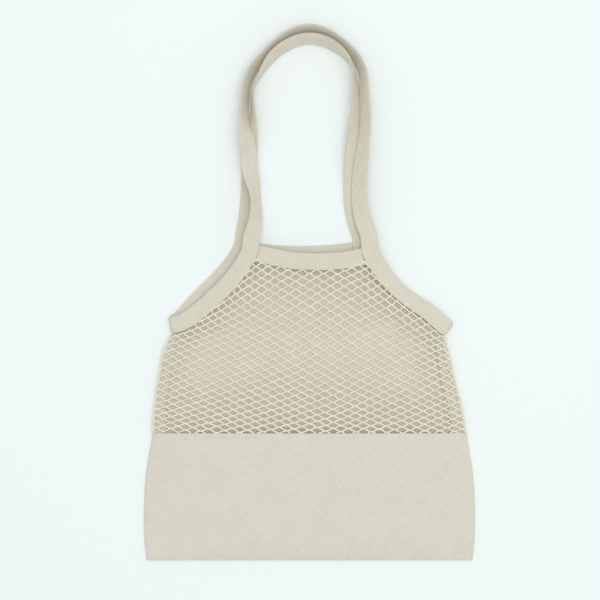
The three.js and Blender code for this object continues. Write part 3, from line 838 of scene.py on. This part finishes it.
class Net:
    """A net of zigzag rows of yarn, each hooked to the next where their bends meet."""

    def __init__(self):
        self.edges = outline("front_net")
        left = self.edges["left"]
        left[:, 0] += DRAWN_IN * smoothstep(left[:, 1], left[0, 1], left[0, 1] + 50 * MM)
        self.low = self.edges["low"][0, 1]
        self.mouth = self.edges["left"][-1, 1]
        self.on_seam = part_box("left_side_seam")[1].z + UNDER_NET + YARN_RADIUS  # height of its side edges
        tall = self.mouth + NET_TAIL - self.low + 8 * MM
        lines = [-2 * CELL_LOW]
        while lines[-1] < tall:
            share = np.clip(lines[-1] / tall, 0, 1) ** 1.3
            lines.append(lines[-1] + (CELL_LOW + (CELL_HIGH - CELL_LOW) * math.sin(math.pi * share)) / 2)
        self.lines = np.array(lines)

    def plan(self, along_row, up):
        """Where a place of the flat net comes to lie, seen from above."""
        share = np.clip(up / (self.mouth - self.low), 0, 1)
        high = smoothstep(share, 0.35, 0.75)
        fall = fallen(along_row, ROW_FALL_LOW) * (1 - high) + fallen(along_row, ROW_FALL_HIGH) * high
        y = self.low + up - fall + 1.0 * MM * ripple(along_row, up, 48 * MM, 51)
        y = y + 0.5 * MM * ripple(along_row, up, 13 * MM, 52)
        x = along_row * np.interp(share, [0, 0.5, 0.85, 1], [1.03, 0.945, 0.93, 0.97])
        x = x + 1.2 * MM * ripple(along_row, up, 42 * MM, 53) + 0.5 * MM * ripple(along_row, up, 14 * MM, 54)
        squeeze = 0.12 + 0.12 * smoothstep(y, CORNER_Y, CORNER_Y + 30 * MM)
        for edge, inward in ((self.edges["left"], 1), (self.edges["right"], -1)):
            away = np.maximum(inward * (x - side_x(edge, y)), -SQUEEZE_REACH)
            x = x + inward * squeeze * SQUEEZE_REACH * np.exp(-away / SQUEEZE_REACH)
        return x, y

    def inside(self, x, y):
        """How far a place is inside the net's outline, across and up; below zero it is under a tape."""
        left = x - side_x(self.edges["left"], y)
        right = side_x(self.edges["right"], y) - x
        top = np.interp(x, self.edges["high"][:, 0], self.edges["high"][:, 1]) - y
        return np.minimum(left, right), top, y - self.low

    def underside(self, x, y):
        """Height of the net's underside, which sags between its edges, before it rounds over a side seam."""
        side, _, bottom = self.inside(x, y)
        share = np.clip((y - self.low) / (self.mouth - self.low), 0, 1)
        loose = np.sin(np.pi * share) ** 0.8 * smoothstep(side, 6 * MM, 55 * MM)
        return front_height(x, y) - NET_SAG * loose - 1.3 * MM * smoothstep(bottom, 9 * MM, 0)

    def height(self, x, y):
        """Height of the yarn's middle."""
        side, _, _ = self.inside(x, y)
        z = self.underside(x, y) + YARN_RADIUS
        dive = (1 - rounded(side, 5 * MM)) * (1 - near_corner(y))
        return z + (self.on_seam - z) * dive

    def kept(self, x, y):
        """True where there is yarn."""
        side, top, bottom = self.inside(x, y)
        margin = NET_TAIL * on_scoop(y) - 0.3 * MM
        return (side > -margin) & (top > -NET_TAIL) & (bottom > -0.4 * MM)

    def squeezed(self, x, y):
        """1 for open yarn, less where a tape or the hem grips it."""
        side, top, _ = self.inside(x, y)
        scoop = on_scoop(y)
        edge = np.minimum(top, np.where(scoop > 0, side / np.maximum(scoop, 0.05), 1.0))
        return 0.4 + 0.6 * smoothstep(edge, -1.5 * MM, 2.5 * MM)

    def strand(self, r):
        """Points along row r, how open the yarn is at each, and whether there is yarn."""
        step = CELL_WIDTH / 2 / YARN_SAMPLES
        count = int(ROWS_LONG / step)
        t = np.arange(count) - count // 2
        phase = np.pi * t / YARN_SAMPLES + (np.pi if r % 2 else 0.0)
        wave = (np.cos(phase) + np.cos(3 * phase) / 9 + np.cos(5 * phase) / 25) / (1 + 1 / 9 + 1 / 25)
        low, high = self.lines[r], self.lines[r + 1]
        up = (low + high) / 2 + wave * ((high - low) / 2 + HOOK)
        x, y = self.plan(t * step, up)
        girth = self.squeezed(x, y)
        z = self.height(x, y) + 0.3 * MM * wave * girth
        return np.stack([x, y, z], axis=1), girth, self.kept(x, y)

    def add_yarn(self, surface, points, girth, start):
        """A yarn along the points; start shifts its twist."""
        tangent = unit(np.gradient(points, axis=0))
        side = unit(np.cross(UP, tangent))
        upward = np.cross(tangent, side)
        angles = np.linspace(0, 2 * np.pi, YARN_SIDES + 1)[:-1]
        wide = (YARN_RADIUS * np.cos(angles))[None, :, None] * side[:, None]
        tall = (YARN_RADIUS * np.sin(angles))[None, :, None] * upward[:, None] * girth[:, None, None]
        around = np.linspace(0, 2 * np.pi * YARN_RADIUS, YARN_SIDES + 1)
        surface.grid(points[:, None] + wide + tall, start + along(points), around, closed=True, capped=True)

    def selvage(self, side):
        """Points and girth of the yarn that the net's bends hang on, up one side seam from the hem."""
        y = np.arange(self.low, CORNER_Y - 1 * MM, 2 * MM)
        edge = self.edges["left" if side < 0 else "right"]
        x = side_x(edge, y) - side * 0.4 * MM + 0.3 * MM * ripple(y, side, 9 * MM, 55)
        z = self.on_seam + 0.6 * MM * smoothstep(y, CORNER_Y - CORNER_HOLD, CORNER_Y)
        return np.stack([x, y, z], axis=1), np.ones(len(y))

    def add_knot(self, surface, centre, tangent, seed):
        """A turn of yarn round two bends."""
        angles = np.linspace(0, 2 * np.pi, 11)[:-1]
        ring = np.linspace(0, 2 * np.pi, 7)[:-1]
        side = unit(np.cross(UP, tangent))
        lean = 0.35 * math.sin(seed * 2.4)
        axis = unit(tangent + lean * side)
        side = unit(np.cross(UP, axis))
        out = np.cos(angles)[:, None] * side + np.sin(angles)[:, None] * UP
        bundle = np.stack([np.cos(angles), np.sin(angles)], axis=1) * KNOT_HALF
        middle = centre + bundle[:, :1] * side + bundle[:, 1:] * UP
        tube = (middle[:, None] + KNOT_RADIUS * (np.cos(ring)[None, :, None] * out[:, None]
                                                 + np.sin(ring)[None, :, None] * axis))
        tube = np.concatenate([tube, tube[:1]])
        around = np.linspace(0, 2 * np.pi * KNOT_RADIUS, 7)
        surface.grid(tube, np.linspace(0, 9 * MM, 11), around, closed=True)

    def build(self):
        """The two halves of the net: the word for each, its piece and its side."""
        halves = {-1: Surface(), 1: Surface()}
        for r in range(len(self.lines) - 1):
            points, girth, kept = self.strand(r)
            bounds = np.flatnonzero(np.diff(np.concatenate([[False], kept, [False]]).astype(int)))
            for first, last in zip(bounds[::2], bounds[1::2]):
                if last - first < 4:
                    continue
                run, grip = points[first:last], girth[first:last]
                split = int(np.searchsorted(run[:, 0], 0.0))
                for side, cut in ((-1, slice(0, split + 1)), (1, slice(split, None))):
                    if len(run[cut]) > 2:
                        self.add_yarn(halves[side], run[cut], grip[cut], 0.37 * r)
            self.add_knots(halves, r)
        for side, surface in halves.items():
            self.add_yarn(surface, *self.selvage(side), 0.0)
            word = "left" if side < 0 else "right"
            yield word, finished(surface.made("net_" + word, YARN), "yarn", "front_net"), side

    def add_knots(self, halves, r):
        """Knots on the line between this row and the next, where this row bends down."""
        step = CELL_WIDTH / 2
        count = int(ROWS_LONG / 2 / step)
        places = np.array([step * k for k in range(-count, count + 1) if (k + r) % 2 == 0])
        up = np.full(len(places), self.lines[r + 1])
        x, y = self.plan(places, up)
        ahead = np.stack(self.plan(places + 1 * MM, up), axis=1)
        side, top, bottom = self.inside(x, y)
        z = self.height(x, y)
        for i in range(len(places)):
            if min(side[i], top[i], bottom[i]) < KNOT_CLEAR:
                continue
            centre = np.array([x[i], y[i], z[i]])
            tangent = unit(np.append(ahead[i], z[i]) - centre)
            self.add_knot(halves[-1 if x[i] < 0 else 1], centre, tangent, r * 31 + i)


# ======== studio ========
def add_camera():
    """Straight above the bag, wide enough for the whole of it."""
    camera = bpy.data.objects.new("camera", bpy.data.cameras.new("camera"))
    bpy.context.scene.collection.objects.link(camera)
    bpy.context.scene.camera = camera
    away, seen = 2.0, 0.6888
    camera.data.lens = camera.data.sensor_width * away / seen
    camera.location = (-0.0109, -0.0085, away)


def add_floor():
    """The pale table that the bag lies on."""
    mesh = bpy.data.meshes.new("floor")
    size = 4.0
    corners = [(-size, -size), (size, -size), (size, size), (-size, size)]
    mesh.from_pydata([(x, y, 0) for x, y in corners], [], [(0, 1, 2, 3)])
    layer = mesh.uv_layers.new(name="cloth")
    layer.data.foreach_set("uv", [value for corner in corners for value in corner])
    mesh.materials.append(painted_floor())
    floor = bpy.data.objects.new("floor", mesh)
    floor.location.z = -0.2 * MM
    bpy.context.scene.collection.objects.link(floor)


def add_light(name, place, size, power):
    """A round soft light of a faintly warm white, turned to the middle of the bag."""
    light = bpy.data.lights.new(name, "AREA")
    light.shape = "DISK"
    light.size = size
    light.energy = power
    light.color = (1.0, 0.985, 0.96)
    lamp = bpy.data.objects.new(name, light)
    lamp.location = place
    lamp.rotation_euler = (-Vector(place)).to_track_quat("-Z", "Y").to_euler()
    bpy.context.scene.collection.objects.link(lamp)


def add_studio():
    """The camera, the floor, a pale sky and two lights."""
    add_camera()
    add_floor()
    scene = bpy.context.scene
    scene.view_settings.view_transform = "Standard"
    scene.world = bpy.data.worlds.new("studio")
    scene.world.use_nodes = True
    sky = scene.world.node_tree.nodes["Background"]
    sky.inputs["Color"].default_value = (0.93, 0.97, 1.0, 1)
    sky.inputs["Strength"].default_value = 0.84
    add_light("window", (0.4, 0.8, 2.2), size=2.6, power=13)
    add_light("ceiling", (0.2, -0.3, 2.7), size=2.2, power=9)


add_studio()
front_tape = add_loop("front", "front", 1, right_turn=0.6)
back_tape = add_loop("back", "root", 2)
for corner_side in (-1, 1):
    add_corner(corner_side, front_tape, back_tape)
add_band("front", "front", 3)
add_band("back", "root", 4)
front_canvas = add_front_canvas()
net = Net()
back_canvas = add_back_canvas(net)
left_allowance = add_seam_allowance("left", net)
right_allowance = add_seam_allowance("right", net)
bottom_allowance = add_bottom_allowance()
add_hem_stitches()
nets = list(net.build())
for net_word, net_piece, net_side in nets:
    let_go(net_piece, net_side)
